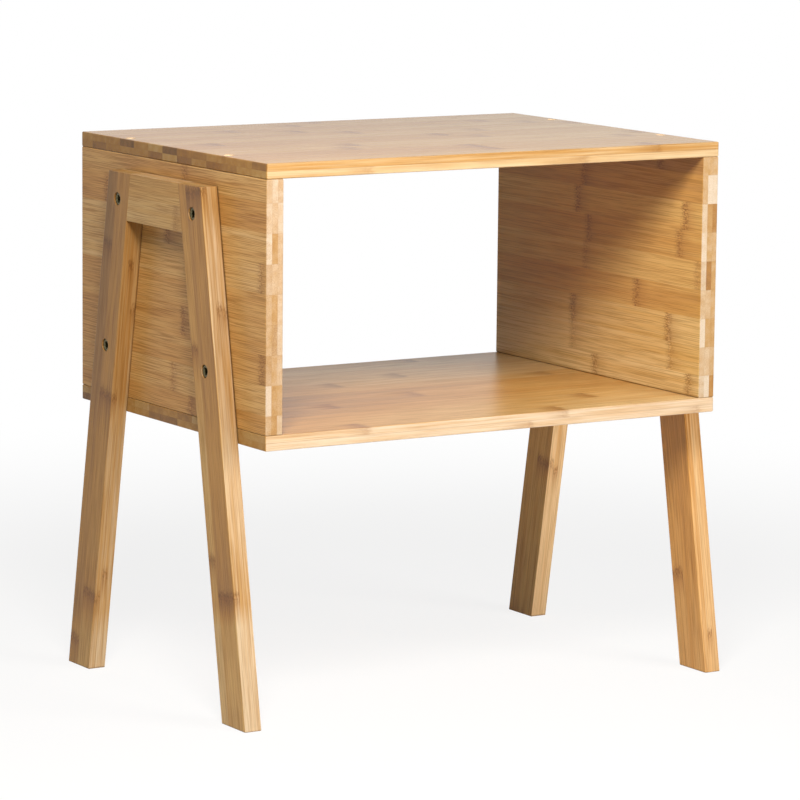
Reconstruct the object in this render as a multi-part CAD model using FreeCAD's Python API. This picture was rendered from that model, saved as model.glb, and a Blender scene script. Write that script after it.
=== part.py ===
import FreeCAD
import Part

import math
import os

from FreeCAD import Placement, Rotation, Vector

# Bamboo nightstand: an open case of four boards, carried between two splayed leg frames.
# Millimetres. X runs along the front, Y from front to back, Z up.
# The origin is on the floor, under the middle of the case.

# Case
case_width = 420.0  # length of the top and of the shelf
case_depth = 302.0
overall_height = 438.0  # floor to the upper face of the top
shelf_height = 230.0  # floor to the upper face of the shelf
board_thickness = 12.0  # top and shelf, two glued plies
panel_thickness = 15.0  # upright sides
board_edge_round = 1.0

# Leg frames
frame_thickness = 15.0  # legs and rail are cut from one stock
leg_width = 36.0  # square to the length of the leg
leg_drop = 24.0  # top of the frames below the upper face of the top
foot_setback = 3.0  # outer corner of the foot, in from the edge of the case
rail_height = 38.0
rail_top_length = 78.0  # upper edge of the rail, leg to leg
leg_edge_round = 1.5  # long edges away from the rail
frame_fine_round = 0.5  # edges that meet the rail, ends of the legs and the rail itself

# Bolts through the legs, and the nuts set in the panels for them
bolt_diameter = 6.0
bolt_head_diameter = 10.0
bolt_head_height = 6.0
bolt_head_round = 0.6
bolt_socket_width = 5.0  # across the flats of the hexagon
bolt_socket_depth = 3.0
bolt_lead_rim = 0.4  # lead-in of the socket, past the corners of the hexagon
bolt_lead_angle = 60.0  # slope of the lead-in to the face of the head
bolt_tip_chamfer = 0.7
bolt_tip_gap = 1.0  # from the tip to the inner end of the nut
bolt_recess = 1.0  # head below the outer face of the leg
bolt_drop = 22.0  # upper bolt below the top of the leg
bolt_rise = 42.0  # lower bolt above the shelf
bolt_hole_clearance = 0.3  # on the radius, in the leg
nut_diameter = 10.0
nut_mouth_chamfer = 0.5
nut_backing = 3.0  # wood left between the nut and the inside of the case
thread_clearance = 0.05  # on the radius, bolt in nut

# Screws that hold the top and the shelf to the ends of the panels
screw_diameter = 4.0
screw_head_diameter = 8.0
screw_head_rim = 0.4  # straight edge above the countersink
screw_length = 35.0
screw_point = 5.0
screw_pitch = 160.0  # between the two screws of a joint
screw_clearance = 0.1  # on the radius
recess_length = 4.6  # cross recess in the head
recess_width = 1.0
recess_depth = 1.4
plug_thickness = 3.0  # wood plug over each screw of the top
plug_recess = 1.5  # plug below the face of the top

# Dowels
dowel_chamfer = 0.8
dowel_clearance = 0.05  # on the radius
dowel_end_gap = 0.5
case_dowel_diameter = 6.0
case_dowel_pitch = 250.0
case_dowel_in_board = 7.0
case_dowel_in_panel = 16.0
rail_dowel_diameter = 8.0
rail_dowel_in_rail = 18.0
rail_dowel_edge = 9.0  # dowel axis to the upper or lower edge of the rail
rail_dowel_wall = 3.0  # wood left in the leg between a dowel and the bolt hole

# Places that follow from the sizes above
panel_outer_x = case_width / 2
panel_middle_x = panel_outer_x - panel_thickness / 2
panel_top_z = overall_height - board_thickness
frame_outer_x = panel_outer_x + frame_thickness
frame_middle_x = panel_outer_x + frame_thickness / 2
leg_height = overall_height - leg_drop
foot_outer_y = case_depth / 2 - foot_setback
rail_bottom_z = leg_height - rail_height

# The splay lets a leg of the given width run from the end of the rail to the foot's outer corner.
leg_run = foot_outer_y - rail_top_length / 2
leg_splay = math.acos(leg_width / math.hypot(leg_run, leg_height)) - math.atan2(leg_height, leg_run)
leg_span = leg_width / math.cos(leg_splay)  # level width of the leg

bolt_heights = (leg_height - bolt_drop, shelf_height + bolt_rise)
bolt_bore_radius = bolt_head_diameter / 2 + bolt_hole_clearance
nut_length = panel_thickness - nut_backing
bolt_seat_depth = bolt_recess + bolt_head_height  # head seat below the outer face of the leg
bolt_shank_length = frame_thickness - bolt_seat_depth + nut_length - bolt_tip_gap

screw_head_height = (screw_head_diameter - screw_diameter) / 2  # a right-angled countersink
screw_bore_radius = screw_head_diameter / 2 + screw_clearance
screw_seat_depth = plug_recess + plug_thickness  # head below the outer face of the board

rail_dowel_heights = (leg_height - rail_dowel_edge, rail_bottom_z + rail_dowel_edge)
rail_dowel_in_leg = leg_span / 2 - bolt_bore_radius - rail_dowel_wall

sides = {"left": -1, "right": 1}
ends = {"front": -1, "rear": 1}
x_axis, y_axis, z_axis = Vector(1, 0, 0), Vector(0, 1, 0), Vector(0, 0, 1)


def leg_inner_y(z):
    """Distance of the inner edge of a leg from the middle of the frame, at height z."""
    return rail_top_length / 2 + (leg_height - z) * math.tan(leg_splay)


def leg_middle_y(z):
    return leg_inner_y(z) + leg_span / 2


def box(low, high):
    size = high - low
    return Part.makeBox(size.x, size.y, size.z, low)


def rod(radius, start, end):
    """Solid round rod from one point to another."""
    return Part.makeCylinder(radius, (end - start).Length, start, end - start)


def turned(profile):
    """Solid of revolution about Z from (radius, height) points that start and end on the axis."""
    points = [Vector(radius, 0, height) for radius, height in profile]
    face = Part.Face(Part.makePolygon(points + points[:1]))
    return face.revolve(Vector(0, 0, 0), z_axis, 360)


def placed(shape, position, up):
    """Copy of a shape made at the origin, moved to position with its Z axis along up."""
    copy = shape.copy()
    copy.Placement = Placement(position, Rotation(z_axis, up))
    return copy


def slab(points_yz, x_sign):
    """Plate with the given outline, filling the thickness of a leg frame on one side."""
    points = [Vector(x_sign * panel_outer_x, y, z) for y, z in points_yz]
    face = Part.Face(Part.makePolygon(points + points[:1]))
    return face.extrude(x_axis * x_sign * frame_thickness)


# Hardware, each made at the origin with its head or mouth facing up


def make_bolt():
    radius, head_radius = bolt_diameter / 2, bolt_head_diameter / 2
    tip = -bolt_head_height - bolt_shank_length
    body = turned([
        (0, 0),
        (head_radius - bolt_head_round, 0),
        (head_radius, -bolt_head_round),
        (head_radius, -bolt_head_height),
        (radius, -bolt_head_height),
        (radius, tip + bolt_tip_chamfer),
        (radius - bolt_tip_chamfer, tip),
        (0, tip),
    ])
    flat_radius, corner_radius = bolt_socket_width / 2, bolt_socket_width / math.sqrt(3)
    corners = [
        Vector(corner_radius * math.cos(turn), corner_radius * math.sin(turn), -bolt_socket_depth)
        for turn in (math.radians(60 * step) for step in range(6))
    ]
    hexagon = Part.Face(Part.makePolygon(corners + corners[:1]))
    lead_radius = corner_radius + bolt_lead_rim
    lead_depth = (lead_radius - flat_radius) * math.tan(math.radians(bolt_lead_angle))
    lead_in = turned([(0, 0), (lead_radius, 0), (flat_radius, -lead_depth), (0, -lead_depth)])
    return body.cut([hexagon.extrude(z_axis * bolt_socket_depth), lead_in])


def make_nut():
    outer, bore = nut_diameter / 2, bolt_diameter / 2 + thread_clearance
    points = [
        (bore + nut_mouth_chamfer, 0),
        (outer, 0),
        (outer, -nut_length + nut_mouth_chamfer),
        (outer - nut_mouth_chamfer, -nut_length),
        (bore, -nut_length),
        (bore, -nut_mouth_chamfer),
    ]
    return turned(points)


def make_screw():
    radius, head_radius = screw_diameter / 2, screw_head_diameter / 2
    body = turned([
        (0, 0),
        (head_radius, 0),
        (head_radius, -screw_head_rim),
        (radius, -screw_head_rim - screw_head_height),
        (radius, screw_point - screw_length),
        (0, -screw_length),
    ])
    half, thin = recess_length / 2, recess_width / 2
    slot = box(Vector(-half, -thin, -recess_depth), Vector(half, thin, 0))
    cross_slot = box(Vector(-thin, -half, -recess_depth), Vector(thin, half, 0))
    return body.cut(slot.fuse(cross_slot))


def make_plug():
    return rod(screw_bore_radius - dowel_clearance, Vector(0, 0, -plug_thickness), Vector(0, 0, 0))


def make_dowel(diameter, above, below):
    radius = diameter / 2
    return turned([
        (0, above),
        (radius - dowel_chamfer, above),
        (radius, above - dowel_chamfer),
        (radius, dowel_chamfer - below),
        (radius - dowel_chamfer, -below),
        (0, -below),
    ])


def make_screw_hole():
    """Stepped hole for a screw and its plug, from the outer face of a board through to the panel."""
    radius = screw_diameter / 2 + screw_clearance
    seat = -screw_seat_depth
    return turned([
        (0, 0),
        (screw_bore_radius, 0),
        (screw_bore_radius, seat - screw_head_rim),
        (radius, seat - screw_head_rim - screw_head_height),
        (radius, seat - screw_length - dowel_end_gap),
        (0, seat - screw_length - dowel_end_gap),
    ])


def make_bolt_hole():
    """Counterbored hole for a bolt, from the outer face of a leg through to the panel."""
    radius = bolt_diameter / 2 + bolt_hole_clearance
    return turned([
        (0, 0),
        (bolt_bore_radius, 0),
        (bolt_bore_radius, -bolt_seat_depth),
        (radius, -bolt_seat_depth),
        (radius, -frame_thickness),
        (0, -frame_thickness),
    ])


def make_dowel_hole(diameter, above, below):
    radius = diameter / 2 + dowel_clearance
    return rod(radius, Vector(0, 0, -below - dowel_end_gap), Vector(0, 0, above + dowel_end_gap))


# Where the hardware goes


def board_joints():
    """The four butt joints of the case: name, sign of X, height of the joint, way out of the board."""
    for level, height, up in (("top", panel_top_z, z_axis), ("shelf", shelf_height, -z_axis)):
        for side, x_sign in sides.items():
            yield level, side, x_sign, height, up


def screw_places(x_sign, height, up):
    """Points on the outer face of the board, over the two screws of one joint."""
    for y_sign in ends.values():
        yield Vector(x_sign * panel_middle_x, y_sign * screw_pitch / 2, height) + up * board_thickness


def case_dowel_places(x_sign, height):
    for y_sign in ends.values():
        yield Vector(x_sign * panel_middle_x, y_sign * case_dowel_pitch / 2, height)


def bolt_places(x_sign, y_sign):
    """Points on the outer face of one leg, over its two bolts."""
    for z in bolt_heights:
        yield Vector(x_sign * frame_outer_x, y_sign * leg_middle_y(z), z)


def rail_dowel_places(x_sign, y_sign):
    """Points on the joint between one end of a rail and its leg."""
    for z in rail_dowel_heights:
        yield Vector(x_sign * frame_middle_x, y_sign * leg_inner_y(z), z)


def group(shape, places, up):
    """Equal loose pieces that share one node."""
    return Part.makeCompound([placed(shape, place, up) for place in places])


# Boards


def rounded_board(low, high):
    blank = box(low, high)
    return blank.makeFillet(board_edge_round, blank.Edges)


def make_board(level):
    """Top or shelf: the two are drilled alike, the shelf from below."""
    half_width, half_depth = case_width / 2, case_depth / 2
    bottom = panel_top_z if level == "top" else shelf_height - board_thickness
    low = Vector(-half_width, -half_depth, bottom)
    board = rounded_board(low, Vector(half_width, half_depth, bottom + board_thickness))
    screw_hole = make_screw_hole()
    dowel_hole = make_dowel_hole(case_dowel_diameter, case_dowel_in_board, case_dowel_in_panel)
    holes = []
    for joint_level, _, x_sign, height, up in board_joints():
        if joint_level == level:
            holes += [placed(screw_hole, place, up) for place in screw_places(x_sign, height, up)]
            holes += [placed(dowel_hole, place, up) for place in case_dowel_places(x_sign, height)]
    return board.cut(holes)


def make_panel(side):
    x_sign = sides[side]
    inner_x, outer_x = sorted((x_sign * panel_outer_x, x_sign * (panel_outer_x - panel_thickness)))
    low = Vector(inner_x, -case_depth / 2, shelf_height)
    panel = rounded_board(low, Vector(outer_x, case_depth / 2, panel_top_z))
    screw_hole = make_screw_hole()
    dowel_hole = make_dowel_hole(case_dowel_diameter, case_dowel_in_board, case_dowel_in_panel)
    outward = x_axis * x_sign
    holes = []
    for _, joint_side, _, height, up in board_joints():
        if joint_side == side:
            holes += [placed(screw_hole, place, up) for place in screw_places(x_sign, height, up)]
            holes += [placed(dowel_hole, place, up) for place in case_dowel_places(x_sign, height)]
    for y_sign in ends.values():
        for place in bolt_places(x_sign, y_sign):
            mouth = place - outward * frame_thickness
            holes.append(rod(nut_diameter / 2 + dowel_clearance, mouth, mouth - outward * nut_length))
    return panel.cut(holes)


# Leg frames


def leg_long_edges(leg, outer):
    """Edges that run the length of a leg, on its outer side or on the side of the rail."""
    edges = [edge for edge in leg.Edges if edge.BoundBox.ZLength > leg_height / 2]
    return [edge for edge in edges if (abs(edge.CenterOfMass.y) > leg_middle_y(leg_height / 2)) == outer]


def make_leg(side, end):
    """One splayed leg, cut level at the foot and at the top."""
    x_sign, y_sign = sides[side], ends[end]
    foot_inner, top_inner = leg_inner_y(0), leg_inner_y(leg_height)
    outline = [
        (y_sign * foot_inner, 0),
        (y_sign * (foot_inner + leg_span), 0),
        (y_sign * (top_inner + leg_span), leg_height),
        (y_sign * top_inner, leg_height),
    ]
    leg = slab(outline, x_sign)
    leg = leg.makeFillet(leg_edge_round, leg_long_edges(leg, outer=True))
    end_faces = [face for face in leg.Faces if face.BoundBox.ZLength < leg_edge_round]
    end_edges = [edge for face in end_faces for edge in face.Edges]
    leg = leg.makeFillet(frame_fine_round, leg_long_edges(leg, outer=False) + end_edges)
    bolt_hole = make_bolt_hole()
    dowel_hole = make_dowel_hole(rail_dowel_diameter, rail_dowel_in_leg, rail_dowel_in_rail)
    holes = [placed(bolt_hole, place, x_axis * x_sign) for place in bolt_places(x_sign, y_sign)]
    holes += [placed(dowel_hole, place, y_axis * y_sign) for place in rail_dowel_places(x_sign, y_sign)]
    return leg.cut(holes)


def make_rail(side):
    """Rail between the tops of two legs, with its ends cut to their slant."""
    x_sign = sides[side]
    top, bottom = leg_inner_y(leg_height), leg_inner_y(rail_bottom_z)
    outline = [(-bottom, rail_bottom_z), (bottom, rail_bottom_z), (top, leg_height), (-top, leg_height)]
    blank = slab(outline, x_sign)
    long_edges = [edge for edge in blank.Edges if edge.BoundBox.YLength > rail_top_length / 2]
    rail = blank.makeFillet(frame_fine_round, long_edges)
    dowel_hole = make_dowel_hole(rail_dowel_diameter, rail_dowel_in_leg, rail_dowel_in_rail)
    holes = []
    for y_sign in ends.values():
        holes += [placed(dowel_hole, place, y_axis * y_sign) for place in rail_dowel_places(x_sign, y_sign)]
    return rail.cut(holes)


def make_parts():
    parts = {"top_board": make_board("top"), "bottom_shelf": make_board("shelf")}
    bolt, nut, screw, plug = make_bolt(), make_nut(), make_screw(), make_plug()
    case_dowel = make_dowel(case_dowel_diameter, case_dowel_in_board, case_dowel_in_panel)
    rail_dowel = make_dowel(rail_dowel_diameter, rail_dowel_in_leg, rail_dowel_in_rail)

    for side, x_sign in sides.items():
        outward = x_axis * x_sign
        parts[f"{side}_side_panel"] = make_panel(side)
        parts[f"{side}_cross_rail"] = make_rail(side)
        nut_places, rail_dowels = [], []
        for end, y_sign in ends.items():
            parts[f"{side}_{end}_leg"] = make_leg(side, end)
            bolts = list(bolt_places(x_sign, y_sign))
            heads = [place - outward * bolt_recess for place in bolts]
            parts[f"{side}_{end}_leg_bolts"] = group(bolt, heads, outward)
            nut_places += [place - outward * frame_thickness for place in bolts]
            rail_dowels.append(group(rail_dowel, rail_dowel_places(x_sign, y_sign), y_axis * y_sign))
        parts[f"{side}_insert_nuts"] = group(nut, nut_places, outward)
        parts[f"{side}_rail_dowels"] = Part.makeCompound([one for pair in rail_dowels for one in pair.Solids])

    for level, side, x_sign, height, up in board_joints():
        faces = list(screw_places(x_sign, height, up))
        heads = [place - up * screw_seat_depth for place in faces]
        parts[f"{level}_{side}_screws"] = group(screw, heads, up)
        parts[f"{level}_{side}_dowels"] = group(case_dowel, case_dowel_places(x_sign, height), up)
        if level == "top":
            plug_places = [place - up * plug_recess for place in faces]
            parts[f"top_{side}_plugs"] = group(plug, plug_places, up)
    return parts


def main():
    os.makedirs("parts", exist_ok=True)
    print(f"leg splay {math.degrees(leg_splay):.2f} degrees, bolt {bolt_shank_length:.1f} mm under the head")
    for name, shape in make_parts().items():
        shape.exportStep(f"parts/{name}.step")
        print(f"{name}: {len(shape.Solids)} solids, {shape.Volume / 1000:.2f} cm3, valid {shape.isValid()}")


main()
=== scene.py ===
import math
import random

import bmesh
import bpy
from mathutils import Matrix, Vector


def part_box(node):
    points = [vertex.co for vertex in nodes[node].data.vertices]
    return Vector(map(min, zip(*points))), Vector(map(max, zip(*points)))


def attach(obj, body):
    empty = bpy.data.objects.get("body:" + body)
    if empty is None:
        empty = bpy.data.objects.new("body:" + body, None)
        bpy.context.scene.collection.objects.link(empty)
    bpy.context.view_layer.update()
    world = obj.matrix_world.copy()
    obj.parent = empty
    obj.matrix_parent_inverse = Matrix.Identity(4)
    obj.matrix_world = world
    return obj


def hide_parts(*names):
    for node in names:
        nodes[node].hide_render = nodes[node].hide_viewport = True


# Bamboo nightstand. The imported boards, legs and rails keep their own shape and get their bamboo here.
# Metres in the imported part's frame, millimetres where a name says so.

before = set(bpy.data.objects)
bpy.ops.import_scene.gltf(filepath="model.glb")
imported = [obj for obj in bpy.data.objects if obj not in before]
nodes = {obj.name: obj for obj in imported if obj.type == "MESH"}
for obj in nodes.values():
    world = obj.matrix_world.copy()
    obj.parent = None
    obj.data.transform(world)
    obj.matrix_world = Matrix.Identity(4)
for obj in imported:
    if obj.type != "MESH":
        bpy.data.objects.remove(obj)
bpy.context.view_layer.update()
scene = bpy.context.scene
mmPerMetre = 1000
print("frame loaded:", len(nodes), "nodes")


def linear(hexColour):  # sRGB hex to the linear values that the shaders take
    parts = [int(hexColour[i:i + 2], 16) / 255 for i in (1, 3, 5)]
    return tuple(p / 12.92 if p <= 0.04045 else ((p + 0.055) / 1.055) ** 2.4 for p in parts) + (1.0,)


def feed(tree, target, source):  # source: a node, a socket or a value
    if isinstance(source, bpy.types.Node):
        source = source.outputs[0]
    if isinstance(source, bpy.types.NodeSocket):
        tree.links.new(source, target)
    else:
        target.default_value = source


def addNode(tree, kind, links=None, **settings):  # links: socket name or number to what feeds it
    node = tree.nodes.new(kind)
    for name, value in settings.items():
        setattr(node, name, value)
    for socket, source in (links or {}).items():
        feed(tree, node.inputs[socket], source)
    return node


def newMaterial(name):
    material = bpy.data.materials.new(name)
    material.use_nodes = True
    material.node_tree.nodes.clear()
    return material, material.node_tree


def setRamp(node, stops, interpolation="LINEAR"):
    ramp = node.color_ramp
    ramp.interpolation = interpolation
    while len(ramp.elements) < len(stops):
        ramp.elements.new(0.5)
    for element, (place, colour) in zip(ramp.elements, stops):
        element.position = place
        element.color = colour


def dress(material, *names):
    for name in names:
        slots = nodes[name].data.materials
        slots.clear()
        slots.append(material)


# Bamboo. Strips about 23 mm wide, split, planed and glued edge to edge in plies, sanded and sealed with a
# clear satin lacquer: each strip has its own tone, long dark fibres and a speckled knuckle every 20 to 30 cm.
# Sizes in pairs run along and across the grain. A span is the stretch of a noise or mask that is drawn.
bamboo = {
    # Cream, straw, honey, amber, tan and smoky: a strip's tone is a digit from 0 to 9 along these
    "toneColours": ("#f0d6a6", "#e4c088", "#d4a560", "#c48c44", "#a87640", "#846038"),
    "lastTone": 9,
    "fibreMm": (42.0, 0.55),  # real ones are 0.2 mm wide, drawn coarser so that they show
    "fibreSpan": (0.44, 0.62),
    "fibreColour": "#bdab8b",
    "swayMm": (90.0, 30.0),  # slow bends of the fibres
    "swayReachMm": 0.9,
    "streakMm": (210.0, 7.0),
    "streakSpan": (0.25, 0.75),
    "streakTone": 0.1,
    "figureMm": (75.0, 1.8),  # amber streaks along the planed edges
    "figureSpan": (0.3, 0.7),
    "figureTone": 0.15,
    "castTone": 0.05,  # each length between knuckles is a little paler or darker
    "stripShift": 37.7,  # moves the noise on from strip to strip
    "firstKnuckle": 0.75,  # a strip's first knuckle lies within this share of its length
    "internodeMm": (190, 280),
    "leastPlaceMm": 0.5,
    "noKnuckle": 4.0,  # in lengths of the strip: past its end
    "knuckleHalfMm": 9.0,
    "raggedMm": 4.5,
    "raggedReachMm": 10.0,
    "speckMm": (2.4, 0.9),
    "speckSpan": (0.34, 0.66),
    "speckColour": "#8b6843",
    "speckGround": (1.12, 1.12, 1.12, 1),  # paler between the specks
    "smudgeHalfMm": 24.0,
    "smudgeFade": 4.0,  # a smudge ends this many times sooner on one side of its knuckle
    "smudgeColour": "#c4a886",
    "sawnGrain": 0.5,
    "glueMm": 0.35,
    "glueShare": 0.35,
    "glueOnSawn": 0.12,
    "glueColour": "#7d5730",
    # Painted shade in the seams between the pieces: how far the occlusion looks, its span and the shade
    # colour
    "paintedSeamShadeMm": 2.5,
    "paintedSeamShadeSpan": (0.35, 0.85),
    "paintedSeamShadeColour": "#553517",
    "rawColour": "#e8c9a0",
    "facingSpan": (0.35, 0.65),
    "ior": 1.3,  # a thin film, rubbed down: weaker face on than a full coat of lacquer at 1.5
    "roughSpan": (0.3, 0.8),
    "roughSway": (-0.04, 0.06),
    "bumpShare": 0.12,
    "bumpMm": 0.2,
}

# What a stock of bamboo has unless it says otherwise. Strips without digits draw their tones from its mix.
plainStock = {
    "lean": 0, "faces": {}, "ends": {}, "knuckles": {}, "shadeAndToneZones": ((0.0, 0.0), (1.0, 0.0)), "zoneOnEdge": 0.0,
    "leastKnuckle": 0.45, "smudge": 0.45, "edgeGrain": 0.65, "fibreShare": 0.75, "paintedSeamShade": 0.7,
    "rawWithinMm": None,
}


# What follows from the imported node: where its grain and its plies start, and which way the grain runs
def fitStock(node, stock):
    low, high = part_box(node)
    along, across, through = stock["axes"]
    fitted = dict(plainStock)
    fitted["longFrom"] = low[along] * mmPerMetre
    fitted["longMm"] = (high[along] - low[along]) * mmPerMetre
    fitted["plyFrom"] = low[through] * mmPerMetre - stock["plyLapMm"]
    fitted.update(stock)
    leaning = Matrix.Rotation(-math.radians(fitted["lean"]), 3, "X")
    fitted["grain"], fitted["width"] = leaning.col[along], leaning.col[across]
    return fitted


# For each strip of each ply: the tone of its face, the places of two knuckles and the tone of its sawn end
def stripPlan(stock):
    pick = random.Random(stock["seed"])
    plan = []
    for ply in range(stock["plies"]):
        for row in range(stock["rows"]):
            tones = []
            for digits in (stock["faces"].get(ply), stock["ends"].get(ply)):
                digit = digits[row] if digits else pick.choice(stock["mix"])
                tones.append(int(digit) / bamboo["lastTone"])
            first = pick.uniform(0.0, bamboo["firstKnuckle"]) * stock["longMm"]
            second = first + pick.uniform(*bamboo["internodeMm"])
            knuckles = stock["knuckles"].get((ply, row), (first, second))
            places = [max(k, bamboo["leastPlaceMm"]) / stock["longMm"] for k in knuckles]
            places += [bamboo["noKnuckle"]] * 2
            plan.append((tones[0], places[0], places[1], tones[1]))
    return plan


# Where a point lies: mm along, across and through the grain, its ply, its strip and what the plan says of it
def findStrip(tree, stock):
    turned = addNode(tree, "ShaderNodeMapping", {
        "Vector": addNode(tree, "ShaderNodeTexCoord").outputs["Object"],
        "Rotation": (math.radians(stock["lean"]), 0, 0),
        "Scale": (mmPerMetre,) * 3,
    })
    axes = addNode(tree, "ShaderNodeSeparateXYZ", {0: turned})
    along, across, through = (axes.outputs[axis] for axis in stock["axes"])
    numbers, shares = [], []
    for value, start, size, count in (
        (through, stock["plyFrom"], stock["plyMm"], stock["plies"]),
        (across, stock["stripFrom"], stock["stripMm"], stock["rows"]),
    ):
        place = addNode(tree, "ShaderNodeMapRange", {
            "Value": value, "From Min": start, "From Max": start + size,
        }, clamp=False)
        number = addNode(tree, "ShaderNodeMath", {0: place}, operation="FLOOR")
        numbers.append(addNode(tree, "ShaderNodeClamp", {"Value": number, "Min": 0, "Max": count - 1}))
        shares.append(addNode(tree, "ShaderNodeMath", {0: place}, operation="FRACT"))
    ply, strip = numbers
    stripId = addNode(tree, "ShaderNodeMath", {0: ply, 1: stock["rows"], 2: strip}, operation="MULTIPLY_ADD")

    stops = stripPlan(stock)
    planPlace = addNode(tree, "ShaderNodeMapRange", {
        "Value": stripId, "From Min": -0.5, "From Max": len(stops) - 0.5,
    })
    plan = addNode(tree, "ShaderNodeValToRGB", {"Fac": planPlace})
    setRamp(plan, [(i / len(stops), stop) for i, stop in enumerate(stops)], "CONSTANT")
    faceTone, *places = addNode(tree, "ShaderNodeSeparateColor", {0: plan}).outputs
    return {
        "along": along, "across": across, "through": through,
        "ply": ply, "inPly": shares[0], "inStrip": shares[1], "stripId": stripId,
        "shift": addNode(tree, "ShaderNodeMath", {0: stripId, 1: bamboo["stripShift"]}, operation="MULTIPLY"),
        "faceTone": faceTone, "endTone": plan.outputs["Alpha"],
        "knuckles": [addNode(tree, "ShaderNodeMath", {
            0: place, 1: stock["longMm"], 2: stock["longFrom"],
        }, operation="MULTIPLY_ADD") for place in places],
    }


# Sawn ends are the faces square to the grain, edges those square to the width of the strips
def findSides(tree, stock):
    normal = addNode(tree, "ShaderNodeNewGeometry").outputs["True Normal"]
    low, high = bamboo["facingSpan"]
    sides = []
    for direction in (stock["grain"], stock["width"]):
        facing = addNode(tree, "ShaderNodeVectorMath", {0: normal, 1: direction}, operation="DOT_PRODUCT")
        facing = addNode(tree, "ShaderNodeMath", {0: facing.outputs["Value"]}, operation="ABSOLUTE")
        sides.append(addNode(tree, "ShaderNodeMapRange", {
            "Value": facing, "From Min": low, "From Max": high,
        }, interpolation_type="SMOOTHSTEP"))
    return sides


# Fibres, streaks, specks and the figure of the edges: noise stretched along the grain, its own for each strip
def drawGrain(tree, spot):
    longMm, wideMm = bamboo["swayMm"]
    bends = addNode(tree, "ShaderNodeTexNoise", {
        "Vector": addNode(tree, "ShaderNodeCombineXYZ", {
            0: addNode(tree, "ShaderNodeMath", {0: spot["along"], 1: 1 / longMm}, operation="MULTIPLY"),
            1: addNode(tree, "ShaderNodeMath", {0: spot["across"], 1: 1 / wideMm}, operation="MULTIPLY"),
            2: spot["shift"],
        }), "Scale": 1.0, "Detail": 2.0,
    })
    bent = addNode(tree, "ShaderNodeMath", {
        0: bends, 1: bamboo["swayReachMm"], 2: spot["across"],
    }, operation="MULTIPLY_ADD")
    grain = {}
    for name in ("fibre", "streak", "speck", "figure"):
        longMm, wideMm = bamboo[name + "Mm"]
        place = addNode(tree, "ShaderNodeCombineXYZ", {
            0: addNode(tree, "ShaderNodeMath", {
                0: spot["along"], 1: 1 / longMm, 2: spot["shift"],
            }, operation="MULTIPLY_ADD"),
            1: addNode(tree, "ShaderNodeMath", {0: bent, 1: 1 / wideMm}, operation="MULTIPLY"),
            2: addNode(tree, "ShaderNodeMath", {0: spot["through"], 1: 1 / wideMm}, operation="MULTIPLY"),
        })
        grain[name] = addNode(tree, "ShaderNodeTexNoise", {
            "Vector": place, "Scale": 1.0, "Detail": 2.0, "Roughness": 0.5,
        })
    return grain


# Knuckles: a ragged band across the strip, and a smudge that trails away to one side of it
def drawKnuckles(tree, spot):
    perMm, reach = 1 / bamboo["raggedMm"], bamboo["raggedReachMm"]
    ragged = addNode(tree, "ShaderNodeTexNoise", {
        "Vector": addNode(tree, "ShaderNodeCombineXYZ", {
            0: addNode(tree, "ShaderNodeMath", {0: spot["across"], 1: perMm}, operation="MULTIPLY"),
            1: addNode(tree, "ShaderNodeMath", {0: spot["through"], 1: perMm}, operation="MULTIPLY"),
            2: spot["shift"],
        }), "Scale": 1.0, "Detail": 3.0, "Roughness": 0.7,
    })
    bands, smudges = [], []
    for knuckle in spot["knuckles"]:
        middle = addNode(tree, "ShaderNodeMath", {0: ragged, 1: reach, 2: knuckle}, operation="MULTIPLY_ADD")
        off = addNode(tree, "ShaderNodeMath", {0: spot["along"], 1: middle}, operation="SUBTRACT")
        off = addNode(tree, "ShaderNodeMath", {0: off, 1: reach / 2}, operation="ADD")
        near = addNode(tree, "ShaderNodeMath", {0: off}, operation="ABSOLUTE")
        back = addNode(tree, "ShaderNodeMath", {0: off, 1: -1.0}, operation="MULTIPLY")
        trail = addNode(tree, "ShaderNodeMath", {0: off, 1: bamboo["smudgeFade"]}, operation="MULTIPLY")
        trail = addNode(tree, "ShaderNodeMath", {0: trail, 1: back}, operation="MAXIMUM")
        for group, away, half in (
            (bands, near, bamboo["knuckleHalfMm"]), (smudges, trail, bamboo["smudgeHalfMm"]),
        ):
            group.append(addNode(tree, "ShaderNodeMapRange", {
                "Value": away, "From Min": half, "From Max": 0.0,
            }, interpolation_type="SMOOTHSTEP"))
    return [
        addNode(tree, "ShaderNodeMath", {0: first, 1: second}, operation="MAXIMUM")
        for first, second in (bands, smudges)
    ]


# Glue lines between strips and between plies
def drawGlue(tree, stock, spot):
    lines = []
    for share, size in ((spot["inStrip"], stock["stripMm"]), (spot["inPly"], stock["plyMm"])):
        off = addNode(tree, "ShaderNodeMath", {0: share, 1: 0.5}, operation="SUBTRACT")
        off = addNode(tree, "ShaderNodeMath", {0: off}, operation="ABSOLUTE")
        lines.append(addNode(tree, "ShaderNodeMapRange", {
            "Value": off, "From Min": 0.5 - bamboo["glueMm"] / size, "From Max": 0.5,
        }))
    return addNode(tree, "ShaderNodeMath", {0: lines[0], 1: lines[1]}, operation="MAXIMUM")


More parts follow.
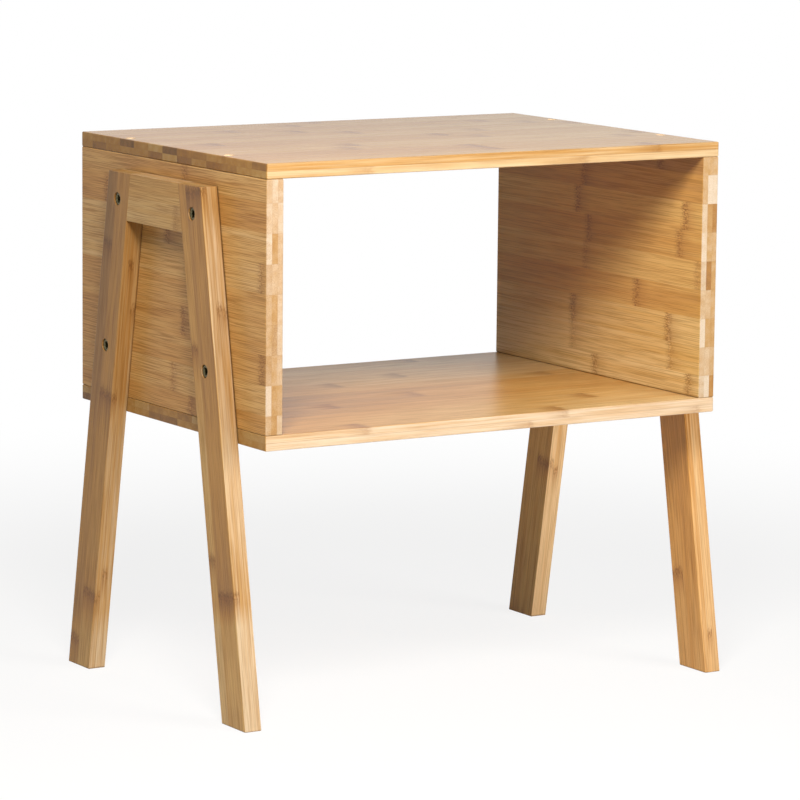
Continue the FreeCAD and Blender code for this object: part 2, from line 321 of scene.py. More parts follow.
# A point's share of the way along the tone colours: its strip's or ply's tone, and what sways that
def findTone(tree, stock, spot, grain, sawn, edge):
    plies, lastTone = stock["plies"], bamboo["lastTone"]
    edgePlace = addNode(tree, "ShaderNodeMapRange", {
        "Value": spot["ply"], "From Min": -0.5, "From Max": plies - 0.5,
    })
    edgePlan = addNode(tree, "ShaderNodeValToRGB", {"Fac": edgePlace})
    edgeTones = [int(digit) / lastTone for digit in stock["edges"]]
    setRamp(edgePlan, [(i / plies, (tone,) * 3 + (1,)) for i, tone in enumerate(edgeTones)], "CONSTANT")
    tone = addNode(tree, "ShaderNodeMix", {0: edge, 2: spot["faceTone"], 3: edgePlan})
    tone = addNode(tree, "ShaderNodeMix", {0: sawn, 2: tone, 3: spot["endTone"]})

    sways = []
    for name in ("streak", "figure"):
        (low, high), reach = bamboo[name + "Span"], bamboo[name + "Tone"]
        sways.append(addNode(tree, "ShaderNodeMapRange", {
            "Value": grain[name], "From Min": low, "From Max": high, "To Min": -reach, "To Max": reach,
        }))
    sway = addNode(tree, "ShaderNodeMix", {0: edge, 2: sways[0], 3: sways[1]})

    # Each length between knuckles has a cast of its own
    passed = [
        addNode(tree, "ShaderNodeMath", {0: spot["along"], 1: knuckle}, operation="GREATER_THAN")
        for knuckle in spot["knuckles"]
    ]
    cast = addNode(tree, "ShaderNodeTexWhiteNoise", {"Vector": addNode(tree, "ShaderNodeCombineXYZ", {
        0: spot["stripId"],
        1: addNode(tree, "ShaderNodeMath", {0: passed[0], 1: passed[1]}, operation="ADD"),
        2: stock["seed"],
    })})
    cast = addNode(tree, "ShaderNodeMapRange", {
        "Value": cast, "To Min": -bamboo["castTone"], "To Max": bamboo["castTone"],
    })

    # Paler and darker zones along the grain, in digits of tone, kept off the sawn ends: partly the wood's own
    # tone, partly painted shade, such as under the shelf and beside the left panel
    zonePlace = addNode(tree, "ShaderNodeMapRange", {
        "Value": spot["along"],
        "From Min": stock["longFrom"], "From Max": stock["longFrom"] + stock["longMm"],
    })
    zonePlan = addNode(tree, "ShaderNodeValToRGB", {"Fac": zonePlace})
    setRamp(zonePlan, [
        (place, (0.5 + digits / (2 * lastTone),) * 3 + (1,)) for place, digits in stock["shadeAndToneZones"]
    ])
    zone = addNode(tree, "ShaderNodeMapRange", {"Value": zonePlan, "To Min": -1.0, "To Max": 1.0})
    zoneShare = addNode(tree, "ShaderNodeMapRange", {
        "Value": edge, "To Min": 1.0, "To Max": stock["zoneOnEdge"],
    })
    zoneShare = addNode(tree, "ShaderNodeMix", {0: sawn, 2: zoneShare, 3: 0.0})
    zone = addNode(tree, "ShaderNodeMath", {0: zone, 1: zoneShare}, operation="MULTIPLY")
    for part in (sway, cast, zone):
        tone = addNode(tree, "ShaderNodeMath", {0: tone, 1: part}, operation="ADD")
    return tone


def bambooMaterial(name, stock):
    material, tree = newMaterial(name)
    spot = findStrip(tree, stock)
    sawn, edge = findSides(tree, stock)
    grain = drawGrain(tree, spot)
    glue = drawGlue(tree, stock, spot)

    # Grain shows full on the faces, less on the edges and on the sawn ends
    calm = addNode(tree, "ShaderNodeMapRange", {"Value": edge, "To Min": 1.0, "To Max": stock["edgeGrain"]})
    calm = addNode(tree, "ShaderNodeMath", {0: calm, 1: addNode(tree, "ShaderNodeMapRange", {
        "Value": sawn, "To Min": 1.0, "To Max": bamboo["sawnGrain"],
    })}, operation="MULTIPLY")
    low, high = bamboo["fibreSpan"]
    fibreShare = addNode(tree, "ShaderNodeMapRange", {
        "Value": grain["fibre"], "From Min": low, "From Max": high,
        "To Min": 0.0, "To Max": stock["fibreShare"],
    }, interpolation_type="SMOOTHSTEP")
    fibreShare = addNode(tree, "ShaderNodeMath", {0: fibreShare, 1: calm}, operation="MULTIPLY")

    # Some strips have fainter knuckles than others
    strength = addNode(tree, "ShaderNodeTexWhiteNoise", {"W": spot["stripId"]}, noise_dimensions="1D")
    strength = addNode(tree, "ShaderNodeMapRange", {
        "Value": strength, "To Min": stock["leastKnuckle"], "To Max": 1.0,
    })
    knuckleShares = []
    for pattern, share in zip(drawKnuckles(tree, spot), (stock["specks"], stock["smudge"])):
        for factor in (strength, calm, share):
            pattern = addNode(tree, "ShaderNodeMath", {0: pattern, 1: factor}, operation="MULTIPLY")
        knuckleShares.append(pattern)
    speckShare, smudgeShare = knuckleShares
    low, high = bamboo["speckSpan"]
    specks = addNode(tree, "ShaderNodeMapRange", {
        "Value": grain["speck"], "From Min": low, "From Max": high,
    }, interpolation_type="SMOOTHSTEP")
    speckled = addNode(tree, "ShaderNodeMix", {
        0: specks, 6: bamboo["speckGround"], 7: linear(bamboo["speckColour"]),
    }, data_type="RGBA")

    glueShare = addNode(tree, "ShaderNodeMapRange", {
        "Value": sawn, "To Min": bamboo["glueShare"], "To Max": bamboo["glueOnSawn"],
    })
    glueShare = addNode(tree, "ShaderNodeMath", {0: glue, 1: glueShare}, operation="MULTIPLY")
    # Painted shade: an ambient occlusion mask darkens the colour in the seams between the pieces, where shade
    # falls
    free = addNode(tree, "ShaderNodeAmbientOcclusion", {"Distance": bamboo["paintedSeamShadeMm"] / mmPerMetre}, samples=8)
    low, high = bamboo["paintedSeamShadeSpan"]
    paintedSeamShadeShare = addNode(tree, "ShaderNodeMapRange", {
        "Value": free.outputs["AO"], "From Min": low, "From Max": high,
        "To Min": stock["paintedSeamShade"], "To Max": 0.0,
    })
    # Faces, edges and sawn ends take the lacquer differently. The tints also paint light and shade: they
    # brighten faces that should take more light, such as the shelf and the inside of the right panel, and
    # darken the brightly lit front edges and sawn ends
    lacquerAndLightTints = stock["lacquerAndLightTints"]
    lacquerAndLightTint = addNode(tree, "ShaderNodeMix", {0: edge, 6: lacquerAndLightTints["face"], 7: lacquerAndLightTints["edge"]}, data_type="RGBA")
    lacquerAndLightTint = addNode(tree, "ShaderNodeMix", {0: sawn, 6: lacquerAndLightTint.outputs[2], 7: lacquerAndLightTints["end"]}, data_type="RGBA")

    layers = [
        (fibreShare, linear(bamboo["fibreColour"]), "MULTIPLY"),
        (smudgeShare, linear(bamboo["smudgeColour"]), "MULTIPLY"),
        (speckShare, speckled.outputs[2], "MULTIPLY"),
        (glueShare, linear(bamboo["glueColour"]), "MIX"),
        (paintedSeamShadeShare, linear(bamboo["paintedSeamShadeColour"]), "MIX"),
        (1.0, lacquerAndLightTint.outputs[2], "MULTIPLY"),
    ]
    if stock["rawWithinMm"]:  # walls of the plug holes were drilled after lacquering: raw and pale
        wall = addNode(tree, "ShaderNodeMath", {0: sawn, 1: edge}, operation="MAXIMUM")
        for way, limit in zip(("along", "across"), stock["rawWithinMm"]):
            middle = addNode(tree, "ShaderNodeMath", {0: spot[way]}, operation="ABSOLUTE")
            inside = addNode(tree, "ShaderNodeMath", {0: middle, 1: limit}, operation="LESS_THAN")
            wall = addNode(tree, "ShaderNodeMath", {0: wall, 1: inside}, operation="MULTIPLY")
        layers.append((wall, linear(bamboo["rawColour"]), "MIX"))

    ramp = addNode(tree, "ShaderNodeValToRGB", {"Fac": findTone(tree, stock, spot, grain, sawn, edge)})
    toneColours = bamboo["toneColours"]
    setRamp(ramp, [(i / (len(toneColours) - 1), linear(c)) for i, c in enumerate(toneColours)])
    colour = ramp.outputs["Color"]
    for share, layer, blend in layers:
        colour = addNode(tree, "ShaderNodeMix", {
            0: share, 6: colour, 7: layer,
        }, data_type="RGBA", blend_type=blend).outputs[2]

    # Lacquer: satin, a little duller over the fibres, which stand just proud of it
    low, high = bamboo["roughSpan"]
    smoother, rougher = bamboo["roughSway"]
    roughness = addNode(tree, "ShaderNodeMapRange", {
        "Value": grain["fibre"], "From Min": low, "From Max": high,
        "To Min": stock["roughness"] + smoother, "To Max": stock["roughness"] + rougher,
    })
    onFace, onEdge, onEnd = stock["gloss"]
    gloss = addNode(tree, "ShaderNodeMapRange", {"Value": edge, "To Min": onFace, "To Max": onEdge})
    gloss = addNode(tree, "ShaderNodeMix", {0: sawn, 2: gloss, 3: onEnd})
    relief = addNode(tree, "ShaderNodeMath", {0: grain["fibre"], 1: glue}, operation="SUBTRACT")
    bump = addNode(tree, "ShaderNodeBump", {
        "Strength": bamboo["bumpShare"], "Distance": bamboo["bumpMm"] / mmPerMetre, "Height": relief,
    })
    shader = addNode(tree, "ShaderNodeBsdfPrincipled", {
        "Base Color": colour, "Roughness": roughness, "IOR": bamboo["ior"], "Normal": bump,
        "Specular IOR Level": gloss,
    })
    addNode(tree, "ShaderNodeOutputMaterial", {"Surface": shader})
    return material


def dressBamboo(name, node, stock):
    dress(bambooMaterial(name, fitStock(node, stock)), node)


# Boards: grain along X, strips counted from the front, the lower ply first.
# Tones are one digit for each strip, knuckles are mm along the strip by ply and strip, zones are shares of
# the length with the digits that they add; some tones and zones paint light and shade. Gloss is that of
# faces, edges and sawn ends.
boardStock = {
    "axes": (0, 1, 2), "rows": 13, "plies": 2, "stripMm": 23.66, "plyMm": 6.03, "plyLapMm": 0.03,
    "mix": "23445", "gloss": (0.5, 0.5, 0.3), "specks": 0.4, "edgeGrain": 0.4,
    "smudge": 0.8, "leastKnuckle": 0.7,
}
topStock = dict(
    boardStock, seed=3, stripFrom=-152.0, edges="13", roughness=0.26, paintedSeamShade=0.0,
    rawWithinMm=(208.0, 149.0),  # 2 mm short of the outer ends and edges
    lacquerAndLightTints={"face": (1.15, 1.1, 0.92, 1), "edge": (0.68, 0.645, 0.645, 1), "end": (0.69, 0.72, 0.72, 1)},
    # The underside's strips (ply 0) are darker so that it bounces less light into the cubby, deepening the
    # shade on the inside of the right panel
    ends={0: "4566574755675", 1: "7555668458555"}, faces={0: "6675667656766", 1: "3443344343434"},
    shadeAndToneZones=((0.0, 0.4), (0.5, 0.0), (1.0, -1.3)),
    knuckles={(0, 0): (91, 290), (1, 0): (360,)},
)
shelfStock = dict(
    boardStock, seed=8, stripFrom=-153.6, edges="01", roughness=0.32, gloss=(0.42, 0.5, 0.3), paintedSeamShade=0.45,
    lacquerAndLightTints={"face": (1.35, 1.45, 1.5, 1), "edge": (0.72, 0.71, 0.85, 1), "end": (0.71, 0.77, 0.93, 1)},
    # Painted light and shade: the upper face's strips turn paler towards the back, and the zones darken the
    # shelf towards the left panel, where its shadow falls
    ends={0: "5556557755567", 1: "4445465645554"}, faces={1: "3344555432212"},
    shadeAndToneZones=((0.0, 2.8), (0.2, 2.0), (0.4, 1.0), (0.6, 0.2), (0.8, -0.8), (1.0, -0.8)),
    knuckles={
        (0, 0): (240, 403), (1, 0): (91, 275), (1, 1): (), (1, 2): (334,), (1, 3): (), (1, 4): (120,),
        (1, 5): (215,), (1, 6): (), (1, 7): (373,), (1, 8): (180,), (1, 9): (256,), (1, 10): (60,),
        (1, 11): (), (1, 12): (310,),
    },
)

# Panels: grain along Y, strips counted from the shelf up, plies from -X to +X
panelStock = {
    "axes": (1, 2, 0), "rows": 9, "plies": 3, "plyMm": 5.03, "plyLapMm": 0.04, "mix": "23445", "edges": "333",
    "roughness": 0.34, "gloss": (0.45, 0.5, 0.5), "specks": 0.8,
}
leftPanelStock = dict(
    panelStock, seed=5, stripFrom=221.9, stripMm=23.25, fibreShare=0.85,
    lacquerAndLightTints={"face": (1.2, 1.28, 1.48, 1), "edge": (1, 1, 1, 1), "end": (0.63, 0.65, 0.85, 1)},
    # The inside face's strips (ply 2) are darker so that it bounces less light into the cubby, deepening the
    # shade on the inside of the right panel
    faces={0: "545554454", 2: "656675667"},
    ends={0: "203332112", 1: "433332421", 2: "132112212"},
    knuckles={
        (0, 8): (129,), (0, 7): (258,), (0, 6): (157,), (0, 5): (8,), (0, 4): (230,), (0, 3): (130,),
        (0, 2): (7,), (0, 1): (146,), (0, 0): (118,),
    },
)
rightPanelStock = dict(
    panelStock, seed=6, stripFrom=224.8, stripMm=23.3, fibreShare=0.6, paintedSeamShade=0.45,
    # Painted light and shade: the face tint is raised for the strong light on the inside face, and its upper
    # strips are darker for the shade under the top board
    lacquerAndLightTints={"face": (1.34, 1.5, 1.58, 1), "edge": (1, 1, 1, 1), "end": (0.66, 0.7, 0.93, 1)},
    faces={0: "233545467"},
    ends={0: "120210133", 1: "024263403", 2: "534343503"},
    knuckles={
        (0, 8): (60,), (0, 7): (170,), (0, 6): (24, 179), (0, 5): (31, 162), (0, 4): (6, 166), (0, 3): (91,),
        (0, 2): (45, 184), (0, 1): (41, 183), (0, 0): (15, 150),
    },
)

# Legs: grain along the leg, which leans by the splay, strips counted from front to back, plies from -X to +X
splayDegrees = 9.93
frameEnd = (0.8, 0.88, 1.15, 1)  # tint of the sawn ends of legs and rails
legStock = {
    "axes": (2, 1, 0), "longFrom": -25, "longMm": 426, "rows": 2, "plies": 3, "plyMm": 5.03, "plyLapMm": 0.04,
    "mix": "456", "roughness": 0.34, "gloss": (0.45, 0.5, 0.2), "zoneOnEdge": 1.0,
    "specks": 0.85, "leastKnuckle": 0.8, "smudge": 0.7,
}
frontLeg = dict(legStock, lean=splayDegrees, stripFrom=-145.9)
rearLeg = dict(legStock, lean=-splayDegrees, stripFrom=109.9)
legs = {
    "left_front_leg": dict(
        frontLeg, seed=11, stripMm=25.0, edges="223", faces={0: "65"},
        lacquerAndLightTints={"face": (1.1, 1.21, 1.36, 1), "edge": (0.78, 0.78, 0.89, 1), "end": frameEnd},
        shadeAndToneZones=((0.0, -2.0), (0.19, -1.7), (0.23, 0.4), (0.33, -0.4), (0.5, -1.1), (0.65, 0.1), (0.72, 0.0),
               (0.91, 0.0), (0.95, 1.0), (1.0, 1.0)),
        knuckles={(0, 0): (418, 104), (0, 1): (297, 133), (1, 0): (326,), (2, 0): (322,)},
    ),
    "left_rear_leg": dict(
        rearLeg, seed=12, stripMm=20.0, edges="443", faces={0: "67"},
        lacquerAndLightTints={"face": (1.07, 1.16, 1.18, 1), "edge": (0.725, 0.74, 0.85, 1), "end": frameEnd},
        shadeAndToneZones=((0.0, -2.2), (0.08, -1.7), (0.13, -0.2), (0.25, -1.1), (0.48, -0.6), (0.56, 0.6), (0.8, 0.9),
               (1.0, 0.8)),
        knuckles={(0, 0): (240, 69), (0, 1): (361, 23)},
    ),
    "right_front_leg": dict(
        frontLeg, seed=13, stripMm=21.0, edges="212", faces={0: "55"},
        lacquerAndLightTints={"face": (1.22, 1.31, 1.6, 1), "edge": (0.89, 0.77, 0.68, 1), "end": frameEnd},
        # Painted shade: the zones darken the leg just under the shelf, and it is paler towards the foot
        shadeAndToneZones=((0.0, -0.8), (0.3, -0.3), (0.42, 0.2), (0.55, 1.6), (1.0, 0.0)),
        knuckles={(0, 0): (), (0, 1): (82,), (1, 0): (32,), (2, 0): (230,)},
    ),
    "right_rear_leg": dict(
        rearLeg, seed=14, stripMm=18.0, edges="010", faces={0: "55"},
        lacquerAndLightTints={"face": (1.28, 1.48, 1.6, 1), "edge": (1.15, 1.06, 1.03, 1), "end": frameEnd},
        # Painted shade: the zones darken the leg just under the shelf, and it is paler towards the foot
        shadeAndToneZones=((0.0, -1.0), (0.2, -0.5), (0.45, 0.4), (0.55, 1.2), (1.0, 0.0)),
        knuckles={(0, 0): (147,), (0, 1): (), (1, 0): (140,), (2, 0): ()},
    ),
}

# Rails: laid as the panels, two strips high
railStock = {
    "axes": (1, 2, 0), "longFrom": -60, "longMm": 300, "rows": 2, "plies": 3, "plyMm": 5.03, "plyLapMm": 0.04,
    "stripMm": 24.0, "stripFrom": 372.0, "mix": "34", "edges": "333", "roughness": 0.34,
    "gloss": (0.45, 0.2, 0.2), "specks": 0.5,
    "lacquerAndLightTints": {"face": (1.02, 1.07, 1.1, 1), "edge": (0.89, 0.93, 1.17, 1), "end": frameEnd},
    "knuckles": {(0, 0): (25,), (0, 1): (240,)},
}

dressBamboo("bambooTopSatinLacquer", "top_board", topStock)
dressBamboo("bambooShelfSatinLacquer", "bottom_shelf", shelfStock)
dressBamboo("bambooLeftPanelSatinLacquer", "left_side_panel", leftPanelStock)
dressBamboo("bambooRightPanelSatinLacquer", "right_side_panel", rightPanelStock)
for leg, stock in legs.items():
    dressBamboo(f"bambooLegSatinLacquer.{leg}", leg, stock)
for rail, seed in (("left_cross_rail", 21), ("right_cross_rail", 22)):
    dressBamboo(f"bambooRailSatinLacquer.{rail}", rail, dict(railStock, seed=seed))
print("bamboo on boards, panels, legs and rails")

# Small parts: two tones of one finish, mixed by a grain of a real size
finish = {"toneSpan": (0.38, 0.62), "roughSpan": (0.35, 0.65), "bumpMm": 0.1}


def finishMaterial(name, look):
    material, tree = newMaterial(name)
    place = addNode(tree, "ShaderNodeMapping", {
        "Vector": addNode(tree, "ShaderNodeTexCoord").outputs["Object"],
        "Scale": [mmPerMetre / size for size in look["grainMm"]],
    })
    grain = addNode(tree, "ShaderNodeTexNoise", {
        "Vector": place, "Scale": 1.0, "Detail": 4.0, "Roughness": 0.6,
    })
    tone = addNode(tree, "ShaderNodeValToRGB", {"Fac": grain})
    setRamp(tone, list(zip(finish["toneSpan"], (linear(look["dark"]), linear(look["light"])))))
    low, high = finish["roughSpan"]
    smoother, rougher = look["roughness"]
    roughness = addNode(tree, "ShaderNodeMapRange", {
        "Value": grain, "From Min": low, "From Max": high, "To Min": smoother, "To Max": rougher,
    })
    bump = addNode(tree, "ShaderNodeBump", {
        "Strength": look["bump"], "Distance": finish["bumpMm"] / mmPerMetre, "Height": grain,
    })
    addNode(tree, "ShaderNodeOutputMaterial", {"Surface": addNode(tree, "ShaderNodeBsdfPrincipled", {
        "Base Color": tone, "Metallic": look["metallic"], "Roughness": roughness, "Normal": bump,
    })})
    return material


# Rolled threads and an upset head in olive zinc plate: dark, with a dull gold glint on the rim
zincPlate = {
    "dark": "#4d4a3b", "light": "#7c7656", "grainMm": (1.2, 1.2, 1.2), "metallic": 1.0,
    "roughness": (0.26, 0.38), "bump": 0.1,
}
# Die-cast zinc: light grey, dull, with a fine cast skin
castZinc = {
    "dark": "#8f9092", "light": "#b4b5b6", "grainMm": (0.8, 0.8, 0.8), "metallic": 1.0,
    "roughness": (0.42, 0.58), "bump": 0.3,
}
# Yellow-passivated steel: straw gold with patches towards pink
yellowSteel = {
    "dark": "#a3853f", "light": "#c9b070", "grainMm": (3.0, 3.0, 3.0), "metallic": 1.0,
    "roughness": (0.3, 0.4), "bump": 0.08,
}
# Beech: pinkish tan with short flecks, left raw
beech = {
    "dark": "#b98a5c", "light": "#d3aa7d", "grainMm": (1.0, 1.0, 4.0), "metallic": 0.0,
    "roughness": (0.6, 0.75), "bump": 0.3,
}
# Bamboo plug: pale, end grain up, so it shows as fine dots
plugBamboo = {
    "dark": "#e6c894", "light": "#f6e4c0", "grainMm": (0.9, 0.9, 6.0), "metallic": 0.0,
    "roughness": (0.45, 0.6), "bump": 0.2,
}
smallParts = {  # by the end of the node's name
    "_dowels": finishMaterial("rawBeech", beech),
    "_screws": finishMaterial("yellowPassivatedSteel", yellowSteel),
    "_nuts": finishMaterial("dieCastZinc", castZinc),
    "_plugs": finishMaterial("paleBambooEndGrain", plugBamboo),
}
for ending, material in smallParts.items():
    dress(material, *(name for name in nodes if name.endswith(ending)))
print("nuts, screws, dowels and plugs dressed")

# Bolts, M6 with a socket head: one lathe of a grid, set on the head centres by Geometry Nodes
bolt = {
    "headMm": 10.0, "headHeightMm": 6.0, "rimMm": 0.6, "flatsMm": 5.0, "socketMm": 3.0, "leadRimMm": 0.4,
    "leadDegrees": 60.0, "shankMm": 6.0, "pitchMm": 1.0, "threadMm": 0.5, "tipMm": 0.7, "mergeMm": 0.01,
    "sharpDegrees": 32, "columns": 49, "threadRows": 72, "seed": 4,
}
boltSizes = {  # inputs of the lathe, in metres
    "headRadius": bolt["headMm"] / 2 / mmPerMetre,
    "headHeight": bolt["headHeightMm"] / mmPerMetre,
    "rim": bolt["rimMm"] / mmPerMetre,
    "flats": bolt["flatsMm"] / mmPerMetre,
    "socketDepth": bolt["socketMm"] / mmPerMetre,
    "leadRim": bolt["leadRimMm"] / mmPerMetre,
    "leadSlope": math.tan(math.radians(bolt["leadDegrees"])),
    "shankRadius": bolt["shankMm"] / 2 / mmPerMetre,
    "pitch": bolt["pitchMm"] / mmPerMetre,
    "threadDepth": bolt["threadMm"] / mmPerMetre,
    "tip": bolt["tipMm"] / mmPerMetre,
}


def boltTree():
    tree = bpy.data.node_groups.new("socketBolts", "GeometryNodeTree")
    socket = tree.interface.new_socket
    socket("Geometry", in_out="INPUT", socket_type="NodeSocketGeometry")
    for name in (*boltSizes, "shankLength"):
        socket(name, in_out="INPUT", socket_type="NodeSocketFloat")
    socket("outward", in_out="INPUT", socket_type="NodeSocketVector")
    socket("material", in_out="INPUT", socket_type="NodeSocketMaterial")
    socket("Geometry", in_out="OUTPUT", socket_type="NodeSocketGeometry")
    given = addNode(tree, "NodeGroupInput").outputs

    # Columns run round the bolt, rows from the socket floor over the head and down the thread
    headRows = 8
    rows = headRows + bolt["threadRows"] + 1
    grid = addNode(tree, "GeometryNodeMeshGrid", {
        "Size X": math.tau, "Size Y": rows - 1, "Vertices X": bolt["columns"], "Vertices Y": rows,
    })
    place = addNode(tree, "ShaderNodeSeparateXYZ", {0: addNode(tree, "GeometryNodeInputPosition")})
    turn = place.outputs["X"]
    row = addNode(tree, "ShaderNodeMath", {0: place.outputs["Y"], 1: (rows - 1) / 2}, operation="ADD")
    row = addNode(tree, "ShaderNodeMath", {0: row}, operation="ROUND")

    # Head: axis, hexagon floor, hexagon rim, lead-in, top, rim, seat, shank
    wrapped = addNode(tree, "ShaderNodeMath", {0: turn, 1: math.pi / 6, 2: -math.pi / 6}, operation="WRAP")
    flatCos = addNode(tree, "ShaderNodeMath", {0: wrapped}, operation="COSINE")
    halfFlats = addNode(tree, "ShaderNodeMath", {0: given["flats"], 1: 0.5}, operation="MULTIPLY")
    hexagon = addNode(tree, "ShaderNodeMath", {0: halfFlats, 1: flatCos}, operation="DIVIDE")
    crown = addNode(tree, "ShaderNodeMath", {0: given["headRadius"], 1: given["rim"]}, operation="SUBTRACT")
    floorZ, rimZ, seatZ = (
        addNode(tree, "ShaderNodeMath", {0: given[name], 1: -1}, operation="MULTIPLY")
        for name in ("socketDepth", "rim", "headHeight")
    )
    corner = addNode(tree, "ShaderNodeMath", {0: given["flats"], 1: 1 / math.sqrt(3)}, operation="MULTIPLY")
    lead = addNode(tree, "ShaderNodeMath", {0: corner, 1: given["leadRim"]}, operation="ADD")
    leadZ = addNode(tree, "ShaderNodeMath", {0: hexagon, 1: lead}, operation="SUBTRACT")
    leadZ = addNode(tree, "ShaderNodeMath", {0: leadZ, 1: given["leadSlope"]}, operation="MULTIPLY")
    headPlan = (
        (0.0, floorZ), (hexagon, floorZ), (hexagon, leadZ), (lead, 0.0), (crown, 0.0),
        (given["headRadius"], rimZ), (given["headRadius"], seatZ), (given["shankRadius"], seatZ),
    )
    profiles = []
    for values in zip(*headPlan):
        switch = addNode(tree, "GeometryNodeIndexSwitch", data_type="FLOAT")
        while len(switch.index_switch_items) < headRows:
            switch.index_switch_items.new()
        for i, source in enumerate((row, *values)):  # the first input is the index
            feed(tree, switch.inputs[i], source)
        profiles.append(switch)

    # Thread: a triangle wave that moves on by one pitch in a turn, tapered at the tip and closed on the axis
    share = addNode(tree, "ShaderNodeMapRange", {
        "Value": row, "From Min": headRows - 1, "From Max": rows - 2,
    })
    down = addNode(tree, "ShaderNodeMath", {0: share, 1: given["shankLength"]}, operation="MULTIPLY")
    threadZ = addNode(tree, "ShaderNodeMath", {0: seatZ, 1: down}, operation="SUBTRACT")
    pitches = addNode(tree, "ShaderNodeMath", {0: down, 1: given["pitch"]}, operation="DIVIDE")
    phase = addNode(tree, "ShaderNodeMath", {0: turn, 1: 1 / math.tau, 2: pitches}, operation="MULTIPLY_ADD")
    phase = addNode(tree, "ShaderNodeMath", {0: phase, 1: 2.0}, operation="MULTIPLY")
    wave = addNode(tree, "ShaderNodeMath", {0: phase, 1: 1.0}, operation="PINGPONG")
    cut = addNode(tree, "ShaderNodeMath", {0: wave, 1: given["threadDepth"]}, operation="MULTIPLY")
    threadR = addNode(tree, "ShaderNodeMath", {0: given["shankRadius"], 1: cut}, operation="SUBTRACT")
    left = addNode(tree, "ShaderNodeMath", {0: given["shankLength"], 1: down}, operation="SUBTRACT")
    taper = addNode(tree, "ShaderNodeMath", {0: given["shankRadius"], 1: given["tip"]}, operation="SUBTRACT")
    taper = addNode(tree, "ShaderNodeMath", {0: taper, 1: left}, operation="ADD")
    threadR = addNode(tree, "ShaderNodeMath", {0: threadR, 1: taper}, operation="MINIMUM")
    notLast = addNode(tree, "ShaderNodeMath", {0: row, 1: rows - 1.5}, operation="LESS_THAN")
    threadR = addNode(tree, "ShaderNodeMath", {0: threadR, 1: notLast}, operation="MULTIPLY")

    below = addNode(tree, "ShaderNodeMath", {0: row, 1: headRows - 0.5}, operation="GREATER_THAN")
    radius = addNode(tree, "ShaderNodeMix", {0: below, 2: profiles[0], 3: threadR})
    heightZ = addNode(tree, "ShaderNodeMix", {0: below, 2: profiles[1], 3: threadZ})
    x, y = (
        addNode(tree, "ShaderNodeMath", {
            0: addNode(tree, "ShaderNodeMath", {0: turn}, operation=circle), 1: radius,
        }, operation="MULTIPLY") for circle in ("COSINE", "SINE")
    )
    lathe = addNode(tree, "GeometryNodeSetPosition", {
        "Geometry": grid, "Position": addNode(tree, "ShaderNodeCombineXYZ", {0: x, 1: y, 2: heightZ}),
    })
    lathe = addNode(tree, "GeometryNodeMergeByDistance", {
        "Geometry": lathe, "Distance": bolt["mergeMm"] / mmPerMetre,
    })

    # One bolt on each head centre, its socket left at a chance angle
    facing = addNode(tree, "FunctionNodeAlignRotationToVector", {"Vector": given["outward"]}, axis="Z")
    chance = addNode(tree, "FunctionNodeRandomValue", {"Seed": bolt["seed"]}, data_type="FLOAT")
    angle = addNode(tree, "ShaderNodeMath", {0: chance.outputs[1], 1: math.tau}, operation="MULTIPLY")
    spin = addNode(tree, "FunctionNodeAxisAngleToRotation", {"Axis": (0, 0, 1), "Angle": angle})
    facing = addNode(tree, "FunctionNodeRotateRotation", {0: facing, 1: spin}, rotation_space="LOCAL")
    bolts = addNode(tree, "GeometryNodeInstanceOnPoints", {
        "Points": given["Geometry"], "Instance": lathe, "Rotation": facing,
    })
    bolts = addNode(tree, "GeometryNodeRealizeInstances", {"Geometry": bolts})
    bolts = addNode(tree, "GeometryNodeSetMaterial", {"Geometry": bolts, "Material": given["material"]})
    addNode(tree, "NodeGroupOutput", {"Geometry": bolts})
    return tree


boltNodes = boltTree()
boltZinc = finishMaterial("oliveZincPlatedSteel", zincPlate)
for leg in legs:
    name = leg + "_bolts"
    low, high = (Vector(corner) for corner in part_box(name))
    side = -1 if "left" in leg else 1
    radius = boltSizes["headRadius"]
    headX = low.x if side < 0 else high.x
    upperY, lowerY = high.y - radius, low.y + radius  # a front leg's upper bolt is the one further back
    if "rear" in leg:
        upperY, lowerY = lowerY, upperY
    mesh = bpy.data.meshes.new(name + "_visual")
    mesh.from_pydata([(headX, upperY, high.z - radius), (headX, lowerY, low.z + radius)], [], [])
    piece = bpy.data.objects.new(name + "_visual", mesh)
    scene.collection.objects.link(piece)
    modifier = piece.modifiers.new("socketBolts", "NODES")
    modifier.node_group = boltNodes
    values = dict(
        boltSizes, shankLength=high.x - low.x - boltSizes["headHeight"],
        outward=(side, 0, 0), material=boltZinc,
    )
    for item in boltNodes.interface.items_tree:
        if item.in_out == "INPUT" and item.name in values:
            modifier[item.identifier] = values[item.name]
    evaluated = piece.evaluated_get(bpy.context.evaluated_depsgraph_get())
    made = bpy.data.meshes.new_from_object(evaluated)
    piece.modifiers.clear()
    piece.data = made
    shell = bmesh.new()
    shell.from_mesh(made)
    bmesh.ops.recalc_face_normals(shell, faces=shell.faces)
    shell.to_mesh(made)
    shell.free()
    made.shade_smooth()
    made.set_sharp_from_angle(angle=math.radians(bolt["sharpDegrees"]))
    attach(piece, "root")
    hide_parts(name)
print("bolts set")

# Stage: a pale floor that shows white to the camera and in reflections, and keeps a soft shadow
stage = {
    "floorRadius": 14.0, "floorCorners": 96, "shadowShare": 0.15, "clearFrom": 0.5, "clearTo": 1.3,
    "floorColour": "#f4f2ee", "white": (1, 1, 1, 1),
}


def pathMask(tree):  # 1 for what the camera, a reflection or a refraction sees
    path = addNode(tree, "ShaderNodeLightPath")
    mask = path.outputs["Is Camera Ray"]
    for ray in ("Is Glossy Ray", "Is Transmission Ray"):
        mask = addNode(tree, "ShaderNodeMath", {0: mask, 1: path.outputs[ray]}, operation="MAXIMUM")
    return mask


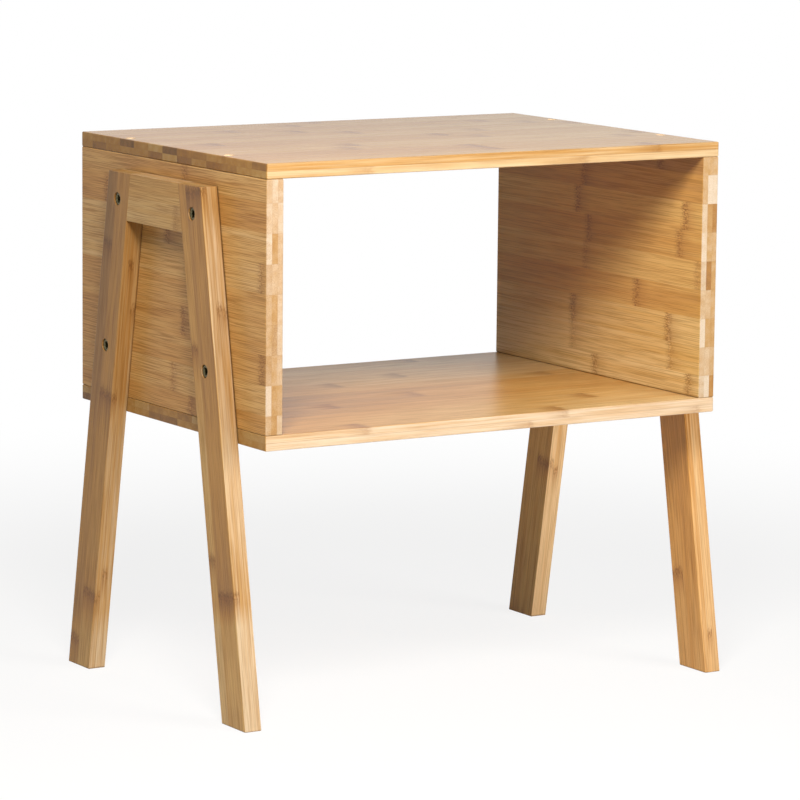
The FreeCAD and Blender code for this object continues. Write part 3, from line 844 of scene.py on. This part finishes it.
bpy.ops.mesh.primitive_circle_add(
    vertices=stage["floorCorners"], radius=stage["floorRadius"], fill_type="NGON",
)
floor = bpy.context.object
floor.name = "floor"
floorPaint, tree = newMaterial("paleStudioFloor")
distance = addNode(tree, "ShaderNodeVectorMath", {
    0: addNode(tree, "ShaderNodeTexCoord").outputs["Object"],
}, operation="LENGTH")
clear = addNode(tree, "ShaderNodeMapRange", {
    "Value": distance.outputs["Value"], "From Min": stage["clearFrom"], "From Max": stage["clearTo"],
    "To Min": 1 - stage["shadowShare"], "To Max": 1.0,
}, interpolation_type="SMOOTHSTEP")
shown = addNode(tree, "ShaderNodeMath", {0: pathMask(tree), 1: clear}, operation="MULTIPLY")
paint = addNode(tree, "ShaderNodeBsdfDiffuse", {"Color": linear(stage["floorColour"])})
glow = addNode(tree, "ShaderNodeEmission", {"Color": stage["white"], "Strength": 1.0})
addNode(tree, "ShaderNodeOutputMaterial", {
    "Surface": addNode(tree, "ShaderNodeMixShader", {0: shown, 1: paint, 2: glow}),
})
floor.data.materials.append(floorPaint)

# The room is white to look at and gives no light of its own
world = bpy.data.worlds.new("paleRoom")
world.use_nodes = True
tree = world.node_tree
tree.nodes.clear()
addNode(tree, "ShaderNodeOutputWorld", {"Surface": addNode(tree, "ShaderNodeBackground", {
    "Color": stage["white"], "Strength": pathMask(tree),
})})
scene.world = world

# Light: a soft box close by at the front left, a lower one further off at the front right, and a low weak one
# far behind for the back edges. None of them shows in the picture or in a reflection.
# Turn and height are degrees from the front and from the floor. A lamp's share is how bright it makes a white
# card that faces it where the nightstand stands.
lampAim = Vector((0, 0, 0.3))
lamps = {
    "keySoftBox": {
        "turn": 36, "height": 36, "distance": 1.35, "size": 0.4, "share": 1.15, "colour": (1.0, 0.97, 0.94),
    },
    "fillSoftBox": {
        "turn": -27, "height": 17, "distance": 2.0, "size": 1.0, "share": 0.72, "colour": (1.0, 0.98, 0.96),
    },
    "rearSoftBox": {
        "turn": 180, "height": 4, "distance": 8.0, "size": 0.8, "share": 0.25, "colour": (1.0, 0.98, 0.96),
    },
}
for name, lamp in lamps.items():
    turn, height = math.radians(lamp["turn"]), math.radians(lamp["height"])
    toLamp = Vector((
        -math.sin(turn) * math.cos(height), -math.cos(turn) * math.cos(height), math.sin(height),
    ))
    data = bpy.data.lights.new(name, "AREA")
    data.energy = lamp["share"] * (math.pi * lamp["distance"]) ** 2
    data.size = lamp["size"]
    data.color = lamp["colour"]
    box = bpy.data.objects.new(name, data)
    box.location = lampAim + toLamp * lamp["distance"]
    box.rotation_euler = toLamp.to_track_quat("Z", "Y").to_euler()
    box.visible_camera = False
    box.visible_glossy = False
    scene.collection.objects.link(box)
print("floor and light ready")

# Camera: the photograph's place and angle
view = {
    "place": (-1.77164, -2.86261, 0.74209), "turnDegrees": (81.2203, -0.5713, -31.7178),
    "lensMm": 187.513, "sensorMm": 36.0,
}
cameraData = bpy.data.cameras.new("camera")
cameraData.lens = view["lensMm"]
cameraData.sensor_width = view["sensorMm"]
camera = bpy.data.objects.new("camera", cameraData)
camera.location = view["place"]
camera.rotation_euler = [math.radians(a) for a in view["turnDegrees"]]
scene.collection.objects.link(camera)
scene.camera = camera
scene.view_settings.view_transform = "Standard"
